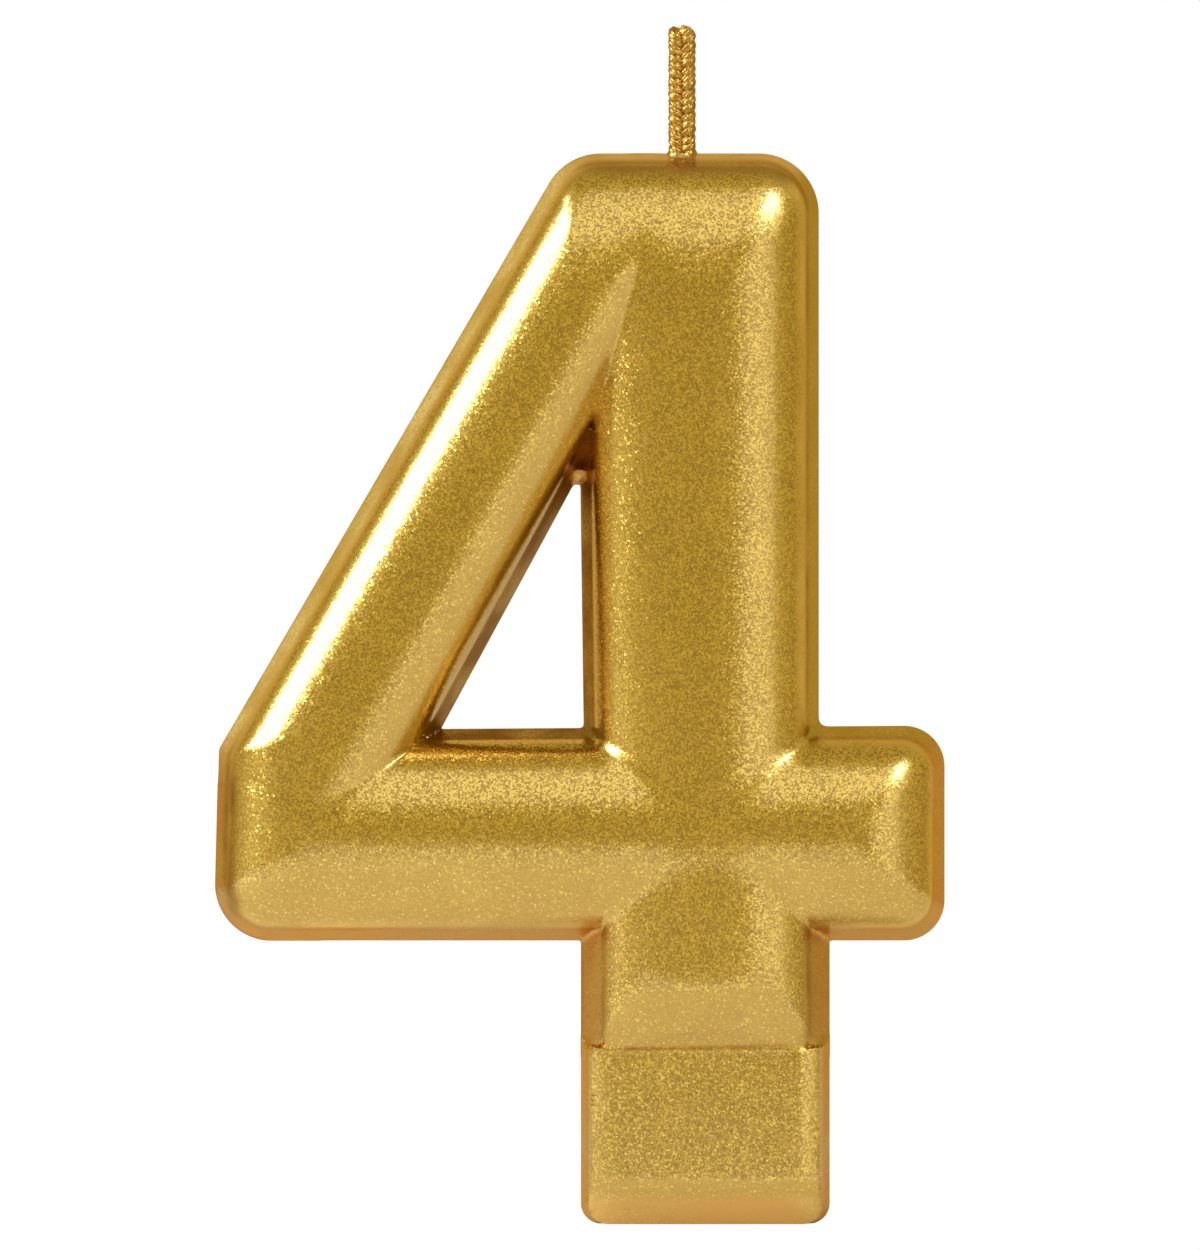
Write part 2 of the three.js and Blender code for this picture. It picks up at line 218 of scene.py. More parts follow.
class Stroke:
    """Convex outline whose edges move in, and whose corners stay round, from level to level."""

    def __init__(self, corners, insets, radii):
        self.corners = np.array(corners, float)
        self.insets = np.array(insets, float)
        self.radii = np.array(radii, float)
        along = np.roll(self.corners, -1, axis=0) - self.corners
        along /= np.linalg.norm(along, axis=1)[:, None]
        self.normals = np.stack([-along[:, 1], along[:, 0]], 1)
        self.top = len(self.insets) - 1.0

    def rows(self, table, level):
        """Row of a table at a level, blended between the whole levels."""
        low = np.clip(np.floor(level), 0, self.top - 1).astype(int)
        share = (level - low)[..., None]
        return table[low] * (1 - share) + table[low + 1] * share

    def value(self, distance, level):
        """How far a point lies inside the outline of its level."""
        radii = self.rows(self.radii, level)
        gap = distance - self.rows(self.insets, level)
        value = gap.min(axis=1)
        for k in range(len(self.corners)):
            before = gap[:, k - 1] - radii[:, k]
            after = gap[:, k] - radii[:, k]
            cross = self.normals[k - 1] @ self.normals[k]
            x = (before - cross * after) / (1 - cross ** 2)
            y = (after - cross * before) / (1 - cross ** 2)
            arc = radii[:, k] - np.sqrt(x * x + y * y + 2 * x * y * cross)
            value = np.where((x < 0) & (y < 0), np.minimum(value, arc), value)
        return value

    def level(self, points):
        """Level of the outline that runs through each point; below zero outside."""
        distance = np.stack([(points - c) @ n for c, n in zip(self.corners, self.normals)], 1)
        low = np.zeros(len(points))
        high = np.full(len(points), self.top)
        outside = self.value(distance, low)
        for _ in range(LEVEL_HALVINGS):
            middle = (low + high) / 2
            inside = self.value(distance, middle) > 0
            low = np.where(inside, middle, low)
            high = np.where(inside, high, middle)
        return np.where(outside < 0, outside / OUTSIDE_FALL, low)

    def ring(self, level, gap):
        """Points along the outline of a level, a gap apart."""
        insets = self.rows(self.insets, np.float64(level))
        radii = self.rows(self.radii, np.float64(level))
        count = len(self.corners)
        outward = np.arctan2(-self.normals[:, 1], -self.normals[:, 0])
        line = []
        for k in range(count):
            turn = (outward[k] - outward[k - 1]) % (2 * math.pi)
            middle = outward[k - 1] + turn / 2
            left = self.clipped(insets + radii[k])
            centre = left[np.argmax(left @ [math.cos(middle), math.sin(middle)])]
            for angle in np.linspace(outward[k - 1], outward[k - 1] + turn, ARC_POINTS):
                line.append(centre + radii[k] * np.array([math.cos(angle), math.sin(angle)]))
        line = np.array(line + line[:1])
        run = np.concatenate([[0], np.cumsum(np.linalg.norm(np.diff(line, axis=0), axis=1))])
        steps = np.linspace(0, run[-1], max(int(run[-1] / gap), 8), endpoint=False)
        return np.stack([np.interp(steps, run, line[:, i]) for i in (0, 1)], 1)

    def clipped(self, insets):
        """Corners of the outline with every edge moved in."""
        polygon = [np.array(p) for p in ((-1.0, -1.0), (1.0, -1.0), (1.0, 1.0), (-1.0, 1.0))]
        for corner, normal, inset in zip(self.corners, self.normals, insets):
            height = [(p - corner) @ normal - inset for p in polygon]
            kept = []
            for i, here in enumerate(height):
                j = (i + 1) % len(polygon)
                if here >= 0:
                    kept.append(polygon[i])
                if here * height[j] < 0:
                    kept.append(polygon[i] + (polygon[j] - polygon[i]) * here / (here - height[j]))
            polygon = kept
        return np.array(polygon)


SHOULDER = 0.35
DOME_STEP = 2.0 * MM
SLIP_RISE = 0.4 * MM
STUB_DEPTHS = (1.6 * MM, 1.15 * MM, 0.55 * MM)
STUB_SIDES = (0.467 * MM, 0.75 * MM, 2.1 * MM)
STUB_TOPS = (0.72 * MM, 0.76 * MM, 0.84 * MM)


def domed(corners, radii, reach, border, hip, arch=None):
    """Stroke with a side wall up to level 1 and a dome above, up to level 2, or 3 if it is arched."""
    reach = np.array(reach)
    edge = np.full(len(reach), border)
    rim = np.maximum(np.array(radii) - border, hip)
    if arch is None:
        return Stroke(corners, [0 * edge, edge, edge + reach], [radii, rim, 0 * rim + TINY])
    return Stroke(corners, [0 * edge, edge, edge + SHOULDER * reach, edge + reach],
                  [radii, rim, 0 * rim + arch, 0 * rim + TINY])


def make_strokes(b):
    """The four strokes, the stub and the web in the counter's apex, from the sizes of the numeral."""
    half = b.stem_width / 2
    bar_foot = b.stub_height + b.stem_height
    counter_foot = bar_foot + b.bar_height
    arm_top = counter_foot + b.arm_step
    left = -half - b.bar_left_length
    right = half - b.upright_set_back
    upright_left = right - b.upright_width
    counter_left = left + b.slant_span
    slant_x = left + b.slant_foot_inset
    slant_z = bar_foot + b.slant_foot_rise
    slant_top = slant_x + (b.height - slant_z) * b.slant_lean
    inner_top = counter_left + (b.height - counter_foot) * b.inner_lean
    draft = b.wall_draft
    bar_reach = b.bar_height / 2 - draft
    slant_reach = (inner_top - slant_top) / 2 / math.hypot(1, b.slant_lean) - draft
    upright_reach = b.upright_width / 2 - draft
    hidden, slant_foot, stem_hip, stem_arch = 1.0 * MM, 0.8 * MM, 0.8 * MM, 4.0 * MM
    border = b.stem_border
    end = b.stub_height - border
    lean = b.upright_lean
    stub_top = b.stub_height + b.stub_lap
    stub_feet = (b.foot_draft, 2.1 * MM, 3.1 * MM)
    web_left, web_right, web_top = upright_left - 1.5 * MM, upright_left + 0.6 * MM, b.web_foot + 1.3 * MM
    return {
        "slant": domed([(slant_top, b.height), (slant_x, slant_z), (left, bar_foot),
                        (counter_left - b.bar_height * b.inner_lean, bar_foot), (inner_top, b.height)],
                       [b.top_radius, slant_foot, b.bar_radius, hidden, b.top_radius],
                       [slant_reach, bar_reach, bar_reach, slant_reach, b.top_reach], draft, b.hip_radius),
        "upright": domed([(upright_left - (b.height - counter_foot) * lean, b.height),
                          (upright_left + b.bar_height * lean, bar_foot), (right, bar_foot),
                          (right, b.height)],
                         [b.top_radius, hidden, hidden, b.top_radius],
                         [upright_reach, bar_reach, upright_reach, b.top_reach], draft, b.hip_radius),
        "bar": domed([(slant_x, counter_foot), (left, bar_foot), (half + b.arm_length, bar_foot),
                      (half + b.arm_length, arm_top)],
                     [b.top_radius, b.bar_radius, b.arm_radius, b.arm_radius],
                     [bar_reach, bar_reach, b.arm_reach, bar_reach], draft, b.hip_radius),
        "stem": domed([(-half, counter_foot), (-half, end), (half, end), (half, counter_foot)],
                      [hidden] * 4, [half - border, b.stem_reach, half - border, bar_reach],
                      border, stem_hip, stem_arch),
        "stub": Stroke([(-half, stub_top), (-half, 0), (half, 0), (half, stub_top)],
                       [(0, 0, 0, 0), *((side, foot, side, top) for side, foot, top
                                        in zip(STUB_SIDES, stub_feet, STUB_TOPS))],
                       [[TINY, b.foot_radius, b.foot_radius, TINY]] * 3 + [[0.2 * MM, 0.8 * MM] * 2]),
        "web": Stroke([(web_left, web_top), (web_left, b.web_foot), (web_right, b.web_foot),
                       (web_right, web_top)], [[0] * 4, [0.3 * MM] * 4], [[TINY] * 4] * 2),
    }


def dome_power(b, points):
    """Power of the dome's curve on the stem: round on its sides, gentle towards its lower end."""
    rise, sag, half_span, run = 5.2 * MM, 2.6 * MM, 6.0 * MM, 3.4 * MM
    start = b.stub_height + rise - sag * (points[:, 0] / half_span) ** 2
    share = np.clip((start - points[:, 1]) / run, 0, 1)
    return 0.5 + b.end_slope * share * share * (3 - 2 * share)


def stroke_height(b, name, level, points):
    """Height of a stroke's surface over the parting line at its levels."""
    if name == "web":
        return np.minimum(level, 1) * b.web_depth
    if name == "stub":
        over = np.clip(level - 2, 0, 1)
        return (np.minimum(level, 1) * STUB_DEPTHS[0] + np.clip(level - 1, 0, 1) * STUB_DEPTHS[1]
                + over * (1.5 - 0.5 * over) * STUB_DEPTHS[2])
    is_stem = name == "stem"
    wall, first = (b.stem_wall, SHOULDER) if is_stem else (b.wall_depth, 1.0)
    part = np.clip(level - 1, 0, 1) * first + np.clip(level - 2, 0, 1) * (1 - first)
    power = dome_power(b, points) if is_stem else 0.5
    height = wall * np.minimum(level, 1) + (b.half_depth - wall) * (part * (2 - part)) ** power
    if is_stem:
        away = np.minimum(level - 1, 0) * b.stem_border + np.maximum(level - 1, 0) * DOME_STEP
        height -= b.groove_depth * (1.5 - power) * np.exp(-(away / b.groove_width) ** 2)
    return height


def smooth_max(a, b, soft):
    """Higher of two heights, with a soft fold where they are close."""
    fold = np.maximum(soft - np.abs(a - b), 0) / soft
    return np.maximum(a, b) + fold ** 3 * soft / 6


def softness(b, points, levels):
    """How soft the fold is: more in the corners between side walls and where the domes cross."""
    bar_foot = b.stub_height + b.stem_height
    bar_top = bar_foot + b.bar_height
    half = b.stem_width / 2
    right = half - b.upright_set_back
    low = 1 - np.clip(np.max(list(levels.values()), axis=0), 0, 1)
    soft = b.valley + (b.corner_fill - b.valley) * low
    arm_wall, counter_wall, stem_wall, stem_dome = 2.4 * MM, 0.9 * MM, 0.5 * MM, 0.3 * MM
    wall_spread, dome_spread = 1.6 * MM, 4.2 * MM
    corners = (((right, bar_top + b.arm_step), arm_wall, b.corner_dome),
               ((right - b.upright_width, bar_top), counter_wall, b.corner_dome),
               ((half, bar_foot), stem_wall, stem_dome), ((-half, bar_foot), stem_wall, stem_dome))
    for corner, wall, dome in corners:
        away = ((points - np.array(corner)) ** 2).sum(axis=1)
        soft += wall * low * np.exp(-away / wall_spread ** 2)
        soft += dome * (1 - low) * np.exp(-away / dome_spread ** 2)
    return soft


def whole_height(b, strokes, points):
    """Height of the whole numeral over the parting line, the levels and the softness."""
    levels = {name: stroke.level(points) for name, stroke in strokes.items()}
    soft = softness(b, points, levels)
    height = None
    for name, level in levels.items():
        own = stroke_height(b, name, level, points)
        height = own if height is None else smooth_max(height, own, soft)
    return height, levels, soft


def edge_points(b, strokes, gap):
    """Points on the outline of the whole numeral."""
    points = np.concatenate([stroke.ring(0, gap) for stroke in strokes.values()])
    step = 0.002 * MM
    longest = 0.3 * MM
    for _ in range(6):
        height = whole_height(b, strokes, points)[0]
        slope = np.stack([
            (whole_height(b, strokes, points + offset)[0] - whole_height(b, strokes, points - offset)[0])
            for offset in (np.array([step, 0]), np.array([0, step]))], 1) / (2 * step)
        push = -height[:, None] * slope / np.maximum((slope ** 2).sum(axis=1), 0.2)[:, None]
        size = np.linalg.norm(push, axis=1)[:, None]
        points = points + push * np.minimum(1, longest / np.maximum(size, 1e-12))
    height = whole_height(b, strokes, points)[0]
    return points[np.abs(height) < step]


WALL_LEVELS = (0.2, 0.42, 0.64, 0.84, 0.96, 1.0)
DOME_LEVELS = tuple(1 + part for part in (0.004, 0.012, 0.03, 0.055, 0.09, 0.13, 0.18, 0.24, 0.31, 0.39,
                                          0.48, 0.58, 0.69, 0.8, 0.9, 0.97))
RING_LEVELS = {
    "stem": WALL_LEVELS + (1.03, 1.06, 1.1, 1.15, 1.21, 1.28, 1.36, 1.45, 1.55, 1.66, 1.78, 1.89, 2.0, 2.15,
                           2.3, 2.46, 2.62, 2.8),
    "stub": (0.35, 0.7, 1.0, 1.25, 1.5, 1.75, 1.97, 2.03, 2.3, 2.6, 2.94, 3.0),
    "web": (0.4, 0.8, 1.0),
}


def inner_points(b, strokes, gap):
    """Points along the rings of every stroke, closest together where its surface bends most."""
    kept = []
    for name, stroke in strokes.items():
        for level in RING_LEVELS.get(name, WALL_LEVELS + DOME_LEVELS):
            ring = stroke.ring(level, gap if level < 1.1 else min(0.2 * MM + gap * (level - 1), 2 * gap))
            others = [stroke_height(b, other, strokes[other].level(ring), ring) for other in strokes
                      if other != name]
            lead = stroke_height(b, name, stroke.level(ring), ring) - np.max(others, axis=0)
            kept.append(ring[lead > -0.02 * MM])
    return np.concatenate(kept)


def crease_points(b, strokes):
    """Points where two strokes cross, with a neighbour on either side, and a loose grid on flat parts."""
    step, beside, lowest, most_loose = 0.21 * MM, 0.13 * MM, 0.25 * MM, 9000
    left, right = -b.stem_width / 2 - b.bar_left_length, b.stem_width / 2 + b.arm_length
    across, up = np.arange(left, right, step), np.arange(0.1 * MM, b.height, step)
    grid = np.stack(np.meshgrid(across, up), -1)
    flat = grid.reshape(-1, 2)
    heights = np.stack([stroke_height(b, name, stroke.level(flat), flat)
                        for name, stroke in strokes.items()])
    best, top = heights.argmax(axis=0), heights.max(axis=0)
    cells = np.arange(len(flat)).reshape(grid.shape[:2])
    kept = []
    for one, two, way in ((cells[:, :-1], cells[:, 1:], (1, 0)), (cells[:-1], cells[1:], (0, 1))):
        one, two = one.ravel(), two.ravel()
        found = (best[one] != best[two]) & (top[one] > lowest)
        one, two = one[found], two[found]
        ahead = heights[best[one], one] - heights[best[two], one]
        behind = heights[best[two], two] - heights[best[one], two]
        place = flat[one] + (flat[two] - flat[one]) * (ahead / (ahead + behind))[:, None]
        kept += [place + np.array(way) * offset for offset in (0, beside, -beside)]
    loose = flat[(cells % 2 == 0).ravel() & (top > b.stem_wall - 0.05 * MM)]
    loose = loose[::2] if len(loose) > most_loose else loose
    return np.concatenate(kept), loose


def thinned(points, gap, fixed=0):
    """Points with no two closer than about a gap; the first ones win and the fixed ones all stay."""
    taken = {}
    for i, (x, z) in enumerate(points):
        cell = (math.floor(x / gap), math.floor(z / gap))
        around = ((cell[0] + dx, cell[1] + dz) for dx in (-1, 0, 1) for dz in (-1, 0, 1))
        near = (points[j] for place in around for j in taken.get(place, ()))
        if i < fixed or all(np.hypot(*(other - points[i])) > gap for other in near):
            taken.setdefault(cell, []).append(i)
    return points[sorted(i for cell in taken.values() for i in cell)]


def body_sheet(b, strokes):
    """Flat double sheet in the shape of the numeral, front and back sharing the parting line."""
    gap = b.point_gap
    rim = thinned(edge_points(b, strokes, gap * 0.8), gap * 0.5)
    foot = strokes["stub"].ring(1, gap)
    foot = foot[foot[:, 1] < 0.7 * b.foot_radius]
    crease, loose = crease_points(b, strokes)
    inner = np.concatenate([crease, inner_points(b, strokes, gap), loose])
    inner = inner[whole_height(b, strokes, inner)[0] > 0.2 * MM]
    firm = np.concatenate([rim, foot])
    points = thinned(np.concatenate([firm, inner]), gap * 0.48, len(firm))
    flat = [Vector((p[0] * 1000, p[1] * 1000)) for p in points]
    coords, _, faces, _, _, _ = delaunay_2d_cdt(flat, [], [], 0, 1e-5)
    points = np.array([(c[0], c[1]) for c in coords]) * MM
    faces = np.array([f for f in faces if len(f) == 3])
    middle = points[faces].mean(axis=1)
    faces = faces[whole_height(b, strokes, middle)[0] > 0.01 * MM]
    edges = np.sort(np.concatenate([faces[:, [0, 1]], faces[:, [1, 2]], faces[:, [2, 0]]]), axis=1)
    pairs, counts = np.unique(edges, axis=0, return_counts=True)
    on_rim = np.zeros(len(points), bool)
    on_rim[pairs[counts == 1].ravel()] = True
    used = np.unique(faces)
    index = np.full(len(points), -1)
    index[used] = np.arange(len(used))
    back = np.full(len(points), -1)
    doubled = used[~on_rim[used]]
    back[doubled] = len(used) + np.arange(len(doubled))
    back[used[on_rim[used]]] = index[used[on_rim[used]]]
    sheet = np.concatenate([points[used], points[doubled]])
    side = np.concatenate([np.where(on_rim[used], 0, 1), np.full(len(doubled), -1)])
    both = np.concatenate([index[faces], back[faces][:, ::-1]])
    return sheet, side, both


# Painted tint for each side of each stroke's outline, in the order of its corners: painted reflections,
# highlights and shade of the walls.
PAINTED_RIMS = {
    "slant": ("pale", "left", "low", "inner", "top"),
    "upright": ("inner", "low", "right", "top"),
    "bar": ("left", "low", "low", "right"),
    "stem": ("groove", "plain", "shallow", "plain"),
    "stub": ("low", "foot", "low", "plain"),
    "web": ("web", "web", "web", "web"),
}


def painted_rim_colour(b, finish, strokes, points, levels):
    """Painted tint of the steep rim at each point, with its strength as the fourth value.

    Each kind of rim has a colour, mostly painted reflection, highlight or shade, how dark its painted
    shade gets towards the dome, the level where it ends, and whether a smooth painted highlight strip
    follows.
    """
    blend, strongest, stub_weight, counter_half = 0.4 * MM, 0.88, 0.62, 9 * MM
    # Painted colours: reflections and highlights by the way each wall faces, brown painted shade in the
    # counter ('inner'), and plain gold where nothing is painted ('plain').
    tints = {"pale": (*finish.pale_painted_highlight, 0.1, 1.08, 1), "left": (*finish.rim, 0.95, 1.14, 0),
             "low": (*finish.low_painted_reflection, 0.15, 1.1, 1), "right": (*finish.olive_painted_reflection, 0.8, 1.13, 1),
             "top": (*finish.top_painted_light, 0.75, 1.13, 0), "groove": (*finish.rim, 0.8, 1.0, 0),
             "shallow": (*finish.rim, 0.95, 1.0, 0), "foot": (*finish.foot_painted_reflection, 0.0, 1.0, 0),
             "inner": (*finish.painted_shade_brown, 0.0, 0.94, 0), "plain": (*finish.gold, 0.0, 1.0, 0),
             "web": (*finish.rim, 0.0, 1.08, 0)}
    names = list(strokes)
    best = np.argmax([levels[name] * (stub_weight if name == "stub" else 1) for name in names], axis=0)
    colours = np.zeros((len(points), 4))
    for i, name in enumerate(names):
        mine = best == i
        sides = zip(strokes[name].corners, strokes[name].normals)
        away = np.stack([(points[mine] - corner) @ normal for corner, normal in sides], 1)
        share = np.exp(-np.maximum(away, 0) / blend)
        share /= share.sum(axis=1)[:, None]
        rim = share @ np.array([tints[kind] for kind in PAINTED_RIMS[name]])
        level = levels[name][mine]
        # Painted shade: the bar's walls inside the counter take the brown.
        if name == "bar":
            counter = np.abs(points[mine, 0] + b.stem_width / 2 + 0.3 * b.bar_left_length) < counter_half
            counter &= points[mine, 1] > b.stub_height + b.stem_height + b.bar_height / 2
            rim[counter] = tints["inner"]
        # Painted shade in a strip along the panel's left edge; the foot's painted reflection reaches up to
        # level 2.
        if name == "stub":
            painted_crease_shade = (share[:, 0] > 0.5) * np.exp(-((level - 1.25) / 0.25) ** 2)
            strength = np.maximum(np.clip((1.3 - level) / 0.4, 0, 1), 0.6 * painted_crease_shade)
            strength = np.maximum(strength, share[:, 1] * np.clip((2.05 - level) / 0.15, 0, 1))
        # Painted shade: a dark line along the groove round the stem's dome.
        elif name == "stem":
            painted_crease_shade = rim[:, 3] * np.exp(-((level - 1) / 0.11) ** 2)
            strength = np.maximum(np.clip((1 - level) / 0.1, 0, 1), painted_crease_shade)
        else:
            # Painted shade darkens the wall towards the dome's foot.
            painted_crease_shade = rim[:, 3] * np.clip((level - 0.5 - 0.3 * rim[:, 5]) / (0.3 - 0.15 * rim[:, 5]), 0, 1)
            strength = np.clip((rim[:, 4] - level) / 0.08, 0, 1)
        painted_crease_shade = painted_crease_shade[:, None]
        # Painted highlight: a smooth pale strip just inside the dome's foot.
        painted_highlight_share = (rim[:, 5] * np.clip((level - 1) / 0.03, 0, 1))[:, None]
        colour = rim[:, :3] * (1 - painted_crease_shade) + np.array(finish.painted_shade_brown) * painted_crease_shade
        colours[mine, :3] = colour * (1 - painted_highlight_share) + np.array(finish.painted_highlight_band) * painted_highlight_share
        colours[mine, 3] = strongest * strength
    # Painted shade: a brown line along the crease where the stem's dome meets the stub.
    x, z = points[:, 0], points[:, 1] - b.stub_height
    crease_rise, crease_tilt, crease_width = 0.06 * MM, 0.02, 0.17 * MM
    crease_margin, crease_fade = 1.9 * MM, 1.5 * MM
    crease_shade_strength = 0.75 - 0.35 * x / b.stem_width
    line = np.exp(-((z - crease_rise - crease_tilt * x) / crease_width) ** 2) * crease_shade_strength
    line *= np.clip((b.stem_width / 2 - crease_margin - np.abs(x)) / crease_fade, 0, 1)
    colours[:, :3] += (np.array(finish.painted_shade_brown) * 1.4 - colours[:, :3]) * np.clip(3 * line, 0, 1)[:, None]
    colours[:, 3] = np.maximum(colours[:, 3], line)
    # Painted light: the counter's apex is lifted from the brown painted shade towards a lighter orange.
    apex_left, apex_rise, apex_spread, apex_light_strength = 0.4 * MM, 2.2 * MM, 1.9 * MM, 0.75
    apex = np.array((b.stem_width / 2 - b.upright_set_back - b.upright_width - apex_left,
                     b.web_foot + apex_rise))
    near = apex_light_strength * np.exp(-((points - apex) ** 2).sum(axis=1) / apex_spread ** 2)
    colours[:, :3] += (np.array(finish.rim) * 1.15 - colours[:, :3]) * near[:, None]
    return colours


COLLAR_RINGS = ((1.35, -1.3), (1.28, -0.5), (1.15, -0.06), (1.04, 0.04), (0.97, 0.16), (0.93, 0.24),
                (0.6, 0.26))


def collar(b, wick_x, first):
    """Small rim of coat that climbs the wick: its points and faces, counted from first.

    Each ring has its radius and its rise over the top edge, in millimetres.
    """
    count, last = 40, len(COLLAR_RINGS) - 1
    points, faces = [(wick_x, 0, b.height + COLLAR_RINGS[0][1] * MM)], []
    for size, rise in COLLAR_RINGS:
        for k in range(count):
            angle = 2 * math.pi * k / count
            uneven = 1 + 0.03 * math.sin(3 * angle + 4 * rise) + 0.02 * math.sin(5 * angle + 1)
            radius = size * uneven * MM
            y = 0.86 * radius * math.sin(angle)
            fall = abs(y) * b.wall_draft / b.wall_depth * min(1, 1.1 - rise)
            points.append((wick_x + radius * math.cos(angle), y, b.height + rise * MM - fall))
    points.append((wick_x, 0, b.height + COLLAR_RINGS[last][1] * MM))
    top_ring = first + 1 + last * count
    for k in range(count):
        ahead = (k + 1) % count
        faces.append((first, first + 1 + ahead, first + 1 + k))
        faces.append((first + len(points) - 1, top_ring + k, top_ring + ahead))
        for row in range(last):
            low, high = first + 1 + row * count, first + 1 + (row + 1) * count
            faces.append((low + k, low + ahead, high + ahead, high + k))
    return points, faces


# Node helpers

def connect(tree, made, inputs):
    """Links or sets the inputs of a node, by their names or numbers."""
    for key, value in inputs.items():
        if isinstance(value, bpy.types.NodeSocket):
            tree.links.new(value, made.inputs[key])
        else:
            made.inputs[key].default_value = value


def node(tree, kind, inputs=None, **settings):
    """A node with its settings, its input values and its incoming links."""
    made = tree.nodes.new(kind)
    for key, value in settings.items():
        setattr(made, key, value)
    connect(tree, made, inputs or {})
    return made


def maths(tree, operation, *values, clamp=False):
    """Result of one math node."""
    return node(tree, "ShaderNodeMath", dict(enumerate(values)), operation=operation,
                use_clamp=clamp).outputs[0]


def helpers(tree):
    """Short forms of node and maths that work on one tree."""
    return partial(node, tree), partial(maths, tree)


def new_group(name, kind, inputs, outputs):
    """Node group with named inputs and outputs, and its two end nodes."""
    tree = bpy.data.node_groups.new(name, kind)
    for direction, sockets in (("INPUT", inputs), ("OUTPUT", outputs)):
        for label, socket in sockets.items():
            tree.interface.new_socket(label, in_out=direction, socket_type="NodeSocket" + socket)
    return tree, tree.nodes.new("NodeGroupInput"), tree.nodes.new("NodeGroupOutput")


def grown_piece(name, mesh, group, values):
    """Piece that a geometry nodes tree makes out of a mesh, as a plain mesh of its own."""
    source = bpy.data.objects.new(mesh.name, mesh)
    bpy.context.scene.collection.objects.link(source)
    modifier = source.modifiers.new("Grow", "NODES")
    modifier.node_group = group
    names = {item.name: item.identifier for item in group.interface.items_tree
             if item.item_type == "SOCKET" and item.in_out == "INPUT"}
    for label, value in values.items():
        modifier[names[label]] = value
    made = bpy.data.meshes.new_from_object(source.evaluated_get(bpy.context.evaluated_depsgraph_get()))
    made.name = name
    bpy.data.objects.remove(source)
    bpy.data.meshes.remove(mesh)
    piece = bpy.data.objects.new(name, made)
    bpy.context.scene.collection.objects.link(piece)
    piece.data.shade_smooth()
    return piece


def close_tree(tree, end, geometry, material):
    """Ends a tree with real geometry that has its material."""
    real = node(tree, "GeometryNodeRealizeInstances", {"Geometry": geometry})
    done = node(tree, "GeometryNodeSetMaterial", {"Geometry": real.outputs[0], "Material": material})
    connect(tree, end, {0: done.outputs[0]})
    return tree


def new_material(name):
    """Material with its tree and its main shader."""
    material = bpy.data.materials.new(name)
    material.use_nodes = True
    return material, material.node_tree, material.node_tree.nodes["Principled BSDF"]


# Geometry node trees

def section_group():
    """Group that turns the level of a stroke into its height: wall, groove and dome."""
    floats = dict.fromkeys(("Level", "Wall", "Half depth", "Shoulder", "Groove", "Groove width", "Border",
                            "Power"), "Float")
    tree, start, end = new_group("Stroke Section", "GeometryNodeTree", floats, {"Height": "Float"})
    add, calc = helpers(tree)
    level, wall, half, shoulder, groove, width, border, power = start.outputs[:8]
    low = calc("MULTIPLY", calc("MINIMUM", level, 1.0), wall)
    over = calc("SUBTRACT", level, 1.0)
    first = calc("MULTIPLY", calc("MULTIPLY", over, 1.0, clamp=True), shoulder)
    second = calc("SUBTRACT", level, 2.0, clamp=True)
    part = calc("MULTIPLY_ADD", second, calc("SUBTRACT", 1.0, shoulder), first)
    curve = calc("POWER", calc("MULTIPLY", part, calc("SUBTRACT", 2.0, part)), power)
    dome = calc("MULTIPLY", curve, calc("SUBTRACT", half, wall))
    inward = calc("MULTIPLY", calc("MAXIMUM", over, 0.0), DOME_STEP)
    away = calc("MULTIPLY_ADD", calc("MINIMUM", over, 0.0), border, inward)
    near = calc("POWER", calc("DIVIDE", away, width), 2.0)
    groove = calc("MULTIPLY", groove, calc("SUBTRACT", 1.5, power))
    dip = calc("MULTIPLY", calc("EXPONENT", calc("MULTIPLY", near, -1.0)), groove)
    total = calc("SUBTRACT", calc("ADD", low, dome), dip)
    connect(tree, end, {"Height": total})
    return tree


